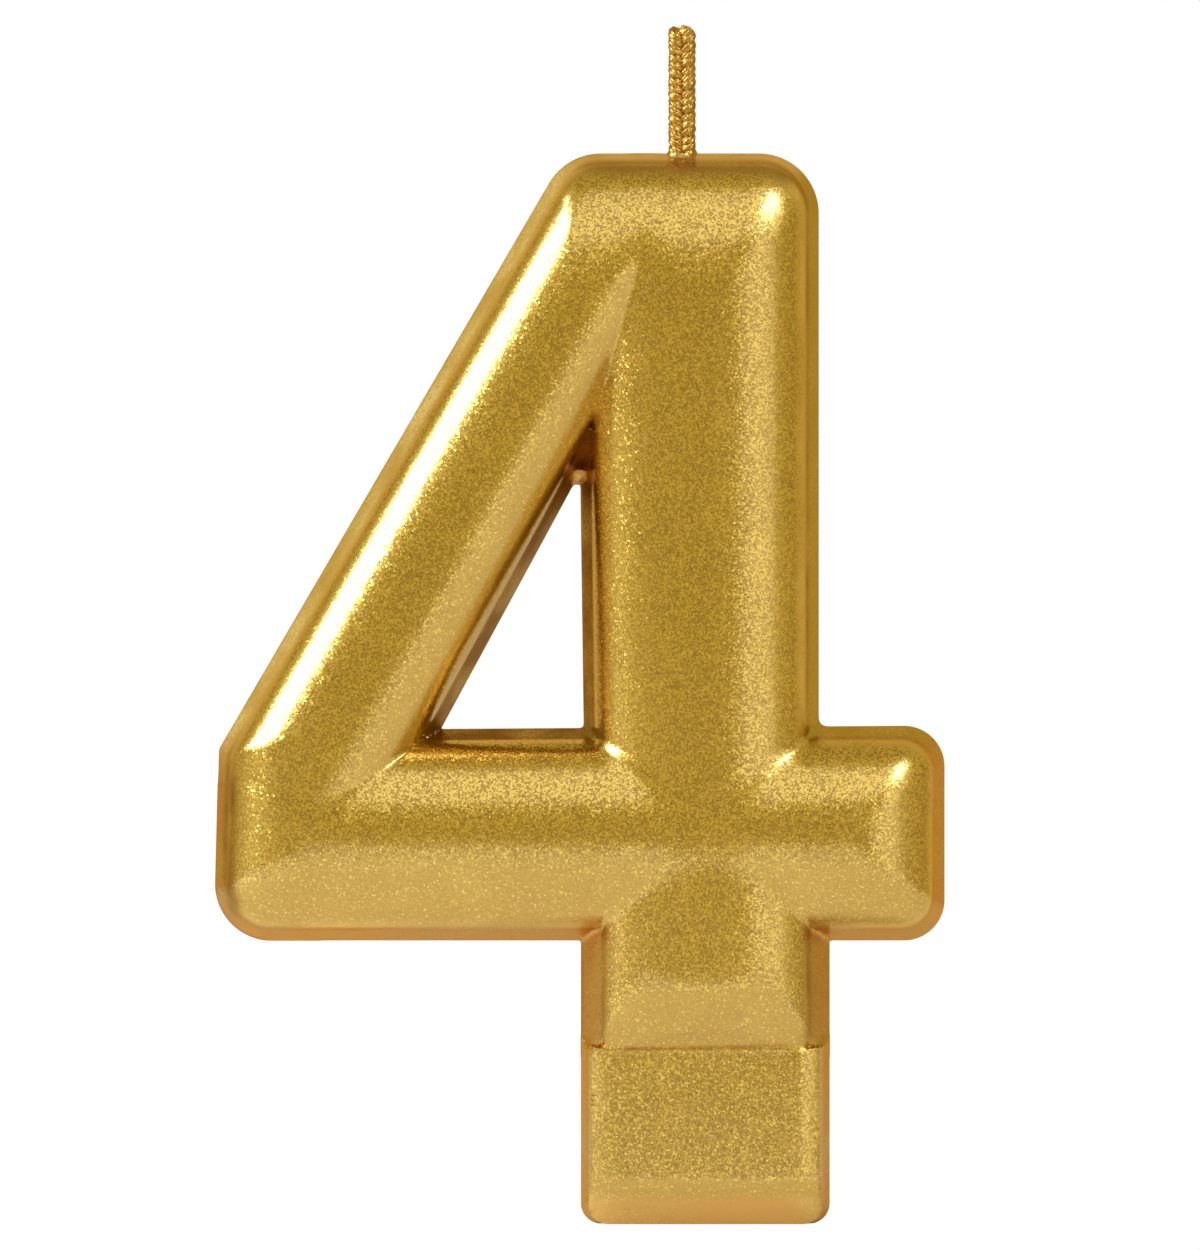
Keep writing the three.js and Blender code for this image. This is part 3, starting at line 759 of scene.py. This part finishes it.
def body_group(names):
    """Tree that raises the flat sheet to the front and the back of the numeral."""
    floats = ("Half depth", "Wall", "Stem wall", "Groove", "Groove width", "Border", "Web", "Mismatch",
              "Waviness")
    inputs = {"Geometry": "Geometry", **dict.fromkeys(floats, "Float"), "Material": "Material"}
    tree, start, end = new_group("Raised Numeral", "GeometryNodeTree", inputs, {"Geometry": "Geometry"})
    add, calc = helpers(tree)
    section = section_group()
    read = {name: add("GeometryNodeInputNamedAttribute", {"Name": name}, data_type="FLOAT").outputs[0]
            for name in (*names, "side", "soft", "power")}
    height = None
    for name in names:
        if name == "stub":
            own = calc("MULTIPLY", calc("MINIMUM", read[name], 1.0), STUB_DEPTHS[0])
            for i in (1, 2):
                share = calc("SUBTRACT", read[name], float(i), clamp=True)
                if i == 2:
                    share = calc("MULTIPLY", share, calc("MULTIPLY_ADD", share, -0.5, 1.5))
                own = calc("MULTIPLY_ADD", share, STUB_DEPTHS[i], own)
        elif name == "web":
            own = calc("MULTIPLY", calc("MINIMUM", read[name], 1.0), start.outputs["Web"])
        else:
            is_stem = name == "stem"
            own = add("GeometryNodeGroup", {
                "Level": read[name], "Wall": start.outputs["Stem wall" if is_stem else "Wall"],
                "Half depth": start.outputs["Half depth"],
                "Shoulder": SHOULDER if is_stem else 1.0,
                "Groove": start.outputs["Groove"] if is_stem else 0.0,
                "Groove width": start.outputs["Groove width"], "Border": start.outputs["Border"],
                "Power": read["power"] if is_stem else 0.5,
            }, node_tree=section).outputs[0]
        height = own if height is None else calc("SMOOTH_MAX", height, own, read["soft"])
    height = calc("MAXIMUM", height, 0.0)
    place = add("GeometryNodeInputPosition").outputs[0]
    wave = add("ShaderNodeTexNoise", {"Vector": place, "Scale": 140.0, "Detail": 2.0,
                                      "Roughness": 0.45}).outputs[0]
    ripple = calc("MULTIPLY", calc("SUBTRACT", wave, 0.5), start.outputs["Waviness"])
    rise = calc("DIVIDE", height, start.outputs["Half depth"], clamp=True)
    height = calc("MULTIPLY_ADD", ripple, rise, height)
    back = calc("MULTIPLY", read["side"], -1.0, clamp=True)
    slip = calc("MULTIPLY", calc("MULTIPLY", height, 1 / SLIP_RISE, clamp=True),
                start.outputs["Mismatch"])
    across = calc("MULTIPLY", calc("MULTIPLY", slip, back), -1.0)
    deep = calc("MULTIPLY", calc("MULTIPLY", height, read["side"]), -1.0)
    offset = add("ShaderNodeCombineXYZ", {"X": across, "Y": deep}).outputs[0]
    moved = add("GeometryNodeSetPosition", {"Geometry": start.outputs["Geometry"], "Offset": offset})
    return close_tree(tree, end, moved.outputs[0], start.outputs["Material"])


POINTS_PER_PLAIT = 26.0
ROUNDED_TIP = 0.16 * MM
LUMPS = 0.16 * MM


def strand_group():
    """Tree that lays one strand of the flat plait: a lobed section, twisted along a waving path."""
    floats = ("Centre", "Low", "High", "Half width", "Half depth", "Pitch", "Phase", "Radius", "Yarns",
              "Twist", "Lumps")
    inputs = {"Geometry": "Geometry", **dict.fromkeys(floats, "Float"), "Material": "Material"}
    tree, start, end = new_group("Plaited Strand", "GeometryNodeTree", inputs, {"Geometry": "Geometry"})
    add, calc = helpers(tree)
    use = start.outputs
    low = add("ShaderNodeCombineXYZ", {"X": use["Centre"], "Z": use["Low"]}).outputs[0]
    high = add("ShaderNodeCombineXYZ", {"X": use["Centre"], "Z": use["High"]}).outputs[0]
    line = add("GeometryNodeCurvePrimitiveLine", {"Start": low, "End": high})
    run = calc("SUBTRACT", use["High"], use["Low"])
    turns = calc("DIVIDE", run, use["Pitch"])
    many = add("GeometryNodeResampleCurve", {"Curve": line.outputs[0],
                                             "Count": calc("MULTIPLY", turns, POINTS_PER_PLAIT)})
    share = add("GeometryNodeSplineParameter").outputs["Factor"]
    fall = calc("MULTIPLY", calc("SUBTRACT", 1.0, share), turns)
    angle = calc("MULTIPLY_ADD", fall, 2 * math.pi, use["Phase"])
    swing = calc("TANH", calc("MULTIPLY", calc("SINE", angle), 1.25))
    x = calc("MULTIPLY", swing, use["Half width"])
    y = calc("MULTIPLY", calc("SINE", calc("MULTIPLY", angle, 2.0)), use["Half depth"])
    offset = add("ShaderNodeCombineXYZ", {"X": x, "Y": y}).outputs[0]
    waved = add("GeometryNodeSetPosition", {"Geometry": many.outputs[0], "Offset": offset})
    tilt = calc("MULTIPLY", calc("MULTIPLY", fall, use["Twist"]), 2 * math.pi)
    tilted = add("GeometryNodeSetCurveTilt", {"Curve": waved.outputs[0], "Tilt": tilt})
    tip = calc("MULTIPLY", calc("SUBTRACT", 1.0, share), calc("DIVIDE", run, ROUNDED_TIP),
               clamp=True)
    size = calc("SQRT", calc("MULTIPLY_ADD", tip, 0.94, 0.06))
    sized = add("GeometryNodeSetCurveRadius", {"Curve": tilted.outputs[0], "Radius": size})
    circle = add("GeometryNodeCurvePrimitiveCircle", {"Resolution": 42, "Radius": use["Radius"]})
    around = add("GeometryNodeSplineParameter").outputs["Factor"]
    lobe = calc("ABSOLUTE", calc("SINE", calc("MULTIPLY", calc("MULTIPLY", around, math.pi), use["Yarns"])))
    scale = calc("MULTIPLY_ADD", calc("SQRT", lobe), 0.16, -0.13)
    spot = add("GeometryNodeInputPosition").outputs[0]
    out = add("ShaderNodeVectorMath", {0: spot, "Scale": scale}, operation="SCALE").outputs[0]
    lobed = add("GeometryNodeSetPosition", {"Geometry": circle.outputs[0], "Offset": out})
    tube = add("GeometryNodeCurveToMesh", {"Curve": sized.outputs[0], "Profile Curve": lobed.outputs[0],
                                           "Fill Caps": True})
    place = add("GeometryNodeInputPosition").outputs[0]
    lump = add("ShaderNodeTexNoise", {"Vector": place, "Scale": 2600.0, "Detail": 3.0}).outputs[0]
    push = calc("MULTIPLY", calc("SUBTRACT", lump, 0.5), use["Lumps"])
    normal = add("GeometryNodeInputNormal").outputs[0]
    grow = add("ShaderNodeVectorMath", {0: normal, "Scale": push}, operation="SCALE").outputs[0]
    coated = add("GeometryNodeSetPosition", {"Geometry": tube.outputs[0], "Offset": grow})
    return close_tree(tree, end, coated.outputs[0], use["Material"])


# Materials

def flake_group():
    """Glitter of the coat: a leaning normal and a shade for each flake, with grain and sparkles painted
    stronger on faces that look up, and a broad cloudiness.
    """
    tree, start, end = new_group(
        "Glitter Flakes", "ShaderNodeTree", {"Size": "Float", "Tilt": "Float"},
        {"Normal": "Vector", "Shade": "Float", "Cloud": "Float"})
    add, calc = helpers(tree)
    spot = add("ShaderNodeTexCoord").outputs["Object"]
    scale = calc("DIVIDE", 1.0, start.outputs["Size"])
    cell = add("ShaderNodeTexVoronoi", {"Vector": spot, "Scale": scale, "Randomness": 1.0})
    lean = add("ShaderNodeVectorMath", {0: cell.outputs["Color"], 1: (0.5, 0.5, 0.5)},
               operation="SUBTRACT").outputs[0]
    pick = add("ShaderNodeSeparateColor", {0: cell.outputs["Color"]})
    rare = calc("POWER", pick.outputs[2], 2.0)
    amount = calc("MULTIPLY", calc("MULTIPLY_ADD", rare, 0.9, 0.45), start.outputs["Tilt"])
    tilt = add("ShaderNodeVectorMath", {0: lean, "Scale": amount}, operation="SCALE").outputs[0]
    normal = add("ShaderNodeNewGeometry").outputs["Normal"]
    total = add("ShaderNodeVectorMath", {0: normal, 1: tilt}, operation="ADD").outputs[0]
    unit = add("ShaderNodeVectorMath", {0: total}, operation="NORMALIZE").outputs[0]
    fine = add("ShaderNodeTexNoise", {"Vector": spot, "Scale": calc("MULTIPLY", scale, 0.8),
                                      "Detail": 2.0, "Roughness": 0.7}).outputs[0]
    mixed = calc("MULTIPLY_ADD", pick.outputs[1], 0.55, calc("MULTIPLY", fine, 0.45))
    facing = add("ShaderNodeSeparateXYZ", {0: normal}).outputs["Z"]
    # Painted light: the grain and the sparkles grow stronger on faces that look up and calmer on faces that
    # look down, as light from above would make them.
    strength = add("ShaderNodeMapRange", {0: facing, 1: -0.25, 2: 0.3, 3: 0.25, 4: 1.9}).outputs[0]
    shade = calc("MULTIPLY_ADD", calc("SUBTRACT", mixed, 0.5), strength, 0.5)
    sparkle_lit_from_above = calc("MULTIPLY", calc("POWER", pick.outputs[0], 14.0), strength)
    shade = calc("MULTIPLY_ADD", sparkle_lit_from_above, 1.7, shade)
    cloud = add("ShaderNodeTexNoise", {"Vector": spot, "Scale": 260.0, "Detail": 4.0,
                                       "Roughness": 0.55}).outputs[0]
    connect(tree, end, {"Normal": unit, "Shade": shade, "Cloud": cloud})
    return tree


def ramp(tree, value, stops):
    """Smooth map of a value to a colour."""
    made = node(tree, "ShaderNodeValToRGB", {0: value})
    while len(made.color_ramp.elements) < len(stops):
        made.color_ramp.elements.new(1.0)
    for stop, (place, colour) in zip(made.color_ramp.elements, stops):
        stop.position = place
        stop.color = (*colour, 1)
    return made.outputs[0]


def gold_material(name, finish, roughness, tone, rimmed):
    """Pearl gold: a metallic coat with fine flakes and a thin clear skin of wax."""
    material, tree, shader = new_material(name)
    add, calc = helpers(tree)
    group = bpy.data.node_groups.get("Glitter Flakes") or flake_group()
    flakes = add("ShaderNodeGroup", {"Size": finish.flake, "Tilt": finish.flake_tilt}, node_tree=group)
    deep, gold, pale = ([c * k for c, k in zip(shade, tone)]
                        for shade in (finish.deep, finish.gold, finish.pale))
    shade = calc("MULTIPLY_ADD", flakes.outputs["Cloud"], 0.2,
                 calc("SUBTRACT", flakes.outputs["Shade"], 0.1))
    base = ramp(tree, shade, [(0.2, deep), (0.5, gold), (0.85, pale)])
    rough = calc("MULTIPLY_ADD", flakes.outputs["Shade"], -0.12, roughness + 0.06)
    coat = 0.45
    # The rim attribute paints reflections, highlights and shade on the side walls; where it shows, the
    # clear coat is thinner and rougher.
    if rimmed:
        rim = add("ShaderNodeAttribute", attribute_name="rim").outputs
        cloud = calc("MULTIPLY", flakes.outputs["Cloud"], 1.8)
        painted_rim_share = calc("MULTIPLY", rim["Alpha"], cloud, clamp=True)
        base = add("ShaderNodeMix", {0: painted_rim_share, 6: base, 7: rim["Color"]}, data_type="RGBA").outputs[2]
        coat = calc("MULTIPLY_ADD", painted_rim_share, -0.65, 0.9)
        rough = calc("MULTIPLY_ADD", painted_rim_share, 0.15, rough)
    connect(tree, shader, {
        "Base Color": base, "Normal": flakes.outputs["Normal"], "Roughness": rough, "Metallic": 1.0,
        "Specular Tint": (*gold, 1), "Coat Weight": coat, "Coat Roughness": 0.19, "Coat IOR": 1.9})
    return material


def wax_material(name, finish):
    """Bare ivory wax: cloudy, a little translucent, with the drag marks of the knife."""
    material, tree, shader = new_material(name)
    add, calc = helpers(tree)
    spot = add("ShaderNodeTexCoord").outputs["Object"]
    cloud = add("ShaderNodeTexNoise", {"Vector": spot, "Scale": 420.0, "Detail": 5.0}).outputs[0]
    wax = list(finish.wax)
    drag = add("ShaderNodeTexWave", {"Vector": spot, "Scale": 1500.0, "Distortion": 4.0,
                                     "Detail": 2.0}).outputs["Fac"]
    bump = add("ShaderNodeBump", {"Height": drag, "Strength": 0.25, "Distance": 0.00003})
    connect(tree, shader, {
        "Base Color": ramp(tree, cloud, [(0.35, [c * 0.86 for c in wax]), (0.7, wax)]),
        "Normal": bump.outputs[0], "Roughness": calc("MULTIPLY_ADD", cloud, 0.2, 0.35),
        "Subsurface Weight": 0.25, "Subsurface Radius": (0.004, 0.003, 0.0015), "Subsurface Scale": 0.3})
    return material


# Operators

class CANDLE_OT_body(bpy.types.Operator):
    """Make the gold dipped numeral."""

    bl_idname = "candle.body"
    bl_label = "Make Body"

    def execute(self, context):
        b = context.scene.candle_body
        finish = context.scene.candle_finish
        strokes = make_strokes(b)
        sheet, side, faces = body_sheet(b, strokes)
        _, levels, soft = whole_height(b, strokes, sheet)
        colours = painted_rim_colour(b, finish, strokes, sheet, levels)
        rim, rim_faces = collar(b, context.scene.candle_wick.centre, len(sheet))
        mesh = bpy.data.meshes.new("numeral_sheet")
        mesh.from_pydata([(x, 0.0, z) for x, z in sheet] + rim, [], faces.tolist() + rim_faces)
        blank = {"soft": b.valley, "side": 0, "power": 0.5}
        power = dome_power(b, sheet)
        for name, values in {**levels, "side": side, "soft": soft, "power": power}.items():
            layer = mesh.attributes.new(name, "FLOAT", "POINT")
            values = np.append(values, np.full(len(rim), blank.get(name, -1)))
            layer.data.foreach_set("value", values.astype(np.float32))
        # The rim attribute carries the painted reflections, highlights and shade of the side walls.
        layer = mesh.attributes.new("rim", "FLOAT_COLOR", "POINT")
        # The wick's collar takes the brown painted shade at half strength.
        colours = np.concatenate([colours, np.tile([*finish.painted_shade_brown, 0.5], (len(rim), 1))])
        layer.data.foreach_set("color", colours.astype(np.float32).ravel())
        gold = gold_material("gold_coat_pearl", finish, finish.roughness, (1, 1, 1), True)
        piece = grown_piece("dipped_numeral", mesh, body_group(list(strokes)), {
            "Half depth": b.half_depth, "Wall": b.wall_depth, "Stem wall": b.stem_wall,
            "Groove": b.groove_depth, "Groove width": b.groove_width, "Border": b.stem_border,
            "Web": b.web_depth, "Mismatch": b.mismatch, "Waviness": b.waviness, "Material": gold})
        for layer in (*levels, "side", "soft", "power"):
            piece.data.attributes.remove(piece.data.attributes[layer])
        piece.data.set_sharp_from_angle(angle=SHARP_ANGLE)
        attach(piece, "root")
        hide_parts("gold_coat")
        return {"FINISHED"}


class CANDLE_OT_foot(bpy.types.Operator):
    """Give the bare wax of the foot its finish."""

    bl_idname = "candle.foot"
    bl_label = "Finish Wax"

    def execute(self, context):
        wax = wax_material("bare_wax", context.scene.candle_finish)
        core = bpy.data.objects["wax_core"]
        for place in core.material_slots:
            place.material = wax
        return {"FINISHED"}


class CANDLE_OT_wick(bpy.types.Operator):
    """Plait the wick out of three strands."""

    bl_idname = "candle.wick"
    bl_label = "Make Wick"

    def execute(self, context):
        w = context.scene.candle_wick
        finish = context.scene.candle_finish
        duller, tone = finish.roughness + 0.16, (0.8, 0.67, 0.5)
        gold = gold_material("gold_wick", finish, duller, tone, False)
        tree = strand_group()
        for i in range(3):
            piece = grown_piece(f"plaited_strand_{i + 1}", bpy.data.meshes.new("strand_line"), tree, {
                "Centre": w.centre, "Low": w.low, "High": w.high - i * w.stagger,
                "Half width": w.half_width, "Half depth": w.half_depth, "Pitch": w.pitch,
                "Phase": i * 2 * math.pi / 3, "Radius": w.strand, "Yarns": float(w.yarns),
                "Twist": w.twist, "Lumps": LUMPS, "Material": gold})
            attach(piece, "root")
            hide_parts(f"wick_strand_{i + 1}")
        return {"FINISHED"}


# For each lamp: direction from the candle, distance, width and height, and the way its width runs
LAMPS = {
    "key_box": ((-0.835, -0.259, 0.487), 0.7, (0.5, 0.385), (-0.22, 0.966, 0.13)),
    "side_box": ((0.54, -0.57, 0.62), 0.75, (0.19, 0.26), (1, 0, 0)),
    "side_panel": ((0.659, -0.732, 0.174), 0.8, (0.42, 0.75), (1, 0, 0)),
    "top_light": ((0.1, -0.74, 0.67), 1.0, (1.2, 0.68), (1, 0, 0)),
}


class CANDLE_OT_studio(bpy.types.Operator):
    """Set the floor, the lights and the camera."""

    bl_idname = "candle.studio"
    bl_label = "Set Studio"

    def execute(self, context):
        s = context.scene.candle_studio
        scene = context.scene
        aim = Vector(((PICTURE_WIDTH / 2 - FOOT_FROM_LEFT) * s.pixel, 0.0,
                      (FOOT_FROM_TOP - PICTURE_HEIGHT / 2) * s.pixel))
        camera = bpy.data.objects.new("camera", bpy.data.cameras.new("camera"))
        scene.collection.objects.link(camera)
        camera.location = aim - Vector((0, s.distance, 0))
        camera.rotation_euler = (math.radians(90), 0, 0)
        camera.data.lens = SENSOR_WIDTH * s.distance / (PICTURE_HEIGHT * s.pixel)
        camera.data.clip_end = 20
        scene.camera = camera

        mesh = bpy.data.meshes.new("floor")
        left, right, near, far = s.floor_left, s.floor_right, -s.floor_near, s.floor_far
        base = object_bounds()[0][2] - TINY
        mesh.from_pydata([(left, near, base), (right, near, base), (right, far, base),
                          (left, far, base)], [], [(0, 1, 2, 3)])
        floor = bpy.data.objects.new("floor", mesh)
        scene.collection.objects.link(floor)
        floor.data.materials.append(self.backdrop())
        floor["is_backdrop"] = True

        for name, radiance in (("key_box", s.key), ("side_box", s.side), ("side_panel", s.panel),
                               ("top_light", s.top)):
            self.lamp(name, aim, radiance, *LAMPS[name])

        world = bpy.data.worlds.new("room")
        world.use_nodes = True
        tree = world.node_tree
        add, calc = helpers(tree)
        path = add("ShaderNodeLightPath")
        room = tree.nodes["Background"]
        way = add("ShaderNodeSeparateXYZ", {0: add("ShaderNodeTexCoord").outputs["Generated"]})
        aside = add("ShaderNodeMapRange", {0: way.outputs["Y"], 1: -0.4, 2: 0.1})
        over = add("ShaderNodeMapRange", {0: way.outputs["Z"], 1: 0.35, 2: 0.75})
        over = calc("MULTIPLY", over.outputs[0], aside.outputs[0])
        back = add("ShaderNodeMapRange", {0: way.outputs["Y"], 1: 0.6, 2: 0.85})
        blend = add("ShaderNodeMix", {0: aside.outputs[0], 6: (*s.front, 1), 7: (*s.sides, 1)},
                    data_type="RGBA")
        blend = add("ShaderNodeMix", {0: over, 6: blend.outputs[2], 7: (*s.above, 1)},
                    data_type="RGBA")
        blend = add("ShaderNodeMix", {0: back.outputs[0], 6: blend.outputs[2], 7: (*s.behind, 1)},
                    data_type="RGBA")
        connect(tree, room, {"Color": blend.outputs[2]})
        white = add("ShaderNodeBackground", {"Color": (1, 1, 1, 1), "Strength": 1.0})
        mix = add("ShaderNodeMixShader", {0: path.outputs["Is Camera Ray"], 1: room.outputs[0],
                                          2: white.outputs[0]})
        connect(tree, tree.nodes["World Output"], {"Surface": mix.outputs[0]})
        scene.world = world
        scene.view_settings.view_transform = "Standard"
        return {"FINISHED"}

    def backdrop(self):
        """Plain pale floor, white in the picture."""
        material, tree, shader = new_material("pale_floor")
        connect(tree, shader, {"Base Color": (0.86, 0.86, 0.86, 1), "Roughness": 0.9})
        seen = node(tree, "ShaderNodeLightPath").outputs["Is Camera Ray"]
        glow = node(tree, "ShaderNodeEmission", {"Color": (1, 1, 1, 1), "Strength": 1.0})
        mix = node(tree, "ShaderNodeMixShader", {0: seen, 1: shader.outputs[0], 2: glow.outputs[0]})
        connect(tree, tree.nodes["Material Output"], {"Surface": mix.outputs[0]})
        return material

    def lamp(self, name, aim, radiance, direction, distance, size, across):
        """Soft rectangular lamp that faces the candle; its width runs as near as may be to across."""
        data = bpy.data.lights.new(name, "AREA")
        data.shape = "RECTANGLE"
        data.size, data.size_y = size
        data.energy = radiance * math.pi * size[0] * size[1]
        lamp = bpy.data.objects.new(name, data)
        bpy.context.scene.collection.objects.link(lamp)
        way = Vector(direction).normalized()
        up = way.cross(Vector(across)).normalized()
        turn = Matrix((up.cross(way), up, way)).transposed()
        lamp.location = aim + way * distance
        lamp.rotation_euler = turn.to_euler()


class CANDLE_PT_panel(bpy.types.Panel):
    """Sizes, colours and buttons of the candle."""

    bl_label = "Number Candle"
    bl_idname = "CANDLE_PT_panel"
    bl_space_type = "VIEW_3D"
    bl_region_type = "UI"
    bl_category = "Candle"

    def draw(self, context):
        for title, name, buttons in (
                ("Body", "candle_body", ("candle.body", "candle.foot")),
                ("Wick", "candle_wick", ("candle.wick",)),
                ("Finish", "candle_finish", ()),
                ("Studio", "candle_studio", ("candle.studio",))):
            box = self.layout.box()
            box.label(text=title)
            values = getattr(context.scene, name)
            for key in values.__annotations__:
                box.prop(values, key)
            for button in buttons:
                box.operator(button)


CLASSES = (CandleBody, CandleWick, CandleFinish, CandleStudio, CANDLE_OT_body, CANDLE_OT_foot,
           CANDLE_OT_wick, CANDLE_OT_studio, CANDLE_PT_panel)
GROUPS = {"candle_body": CandleBody, "candle_wick": CandleWick, "candle_finish": CandleFinish,
          "candle_studio": CandleStudio}


def register():
    for item in CLASSES:
        bpy.utils.register_class(item)
    for name, group in GROUPS.items():
        setattr(bpy.types.Scene, name, PointerProperty(type=group))


def unregister():
    for name in GROUPS:
        delattr(bpy.types.Scene, name)
    for item in reversed(CLASSES):
        bpy.utils.unregister_class(item)


def main():
    """Builds every piece and the studio."""
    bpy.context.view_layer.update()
    register()
    bpy.ops.candle.studio()
    bpy.ops.candle.body()
    bpy.ops.candle.foot()
    bpy.ops.candle.wick()


if __name__ == "__main__":
    main()
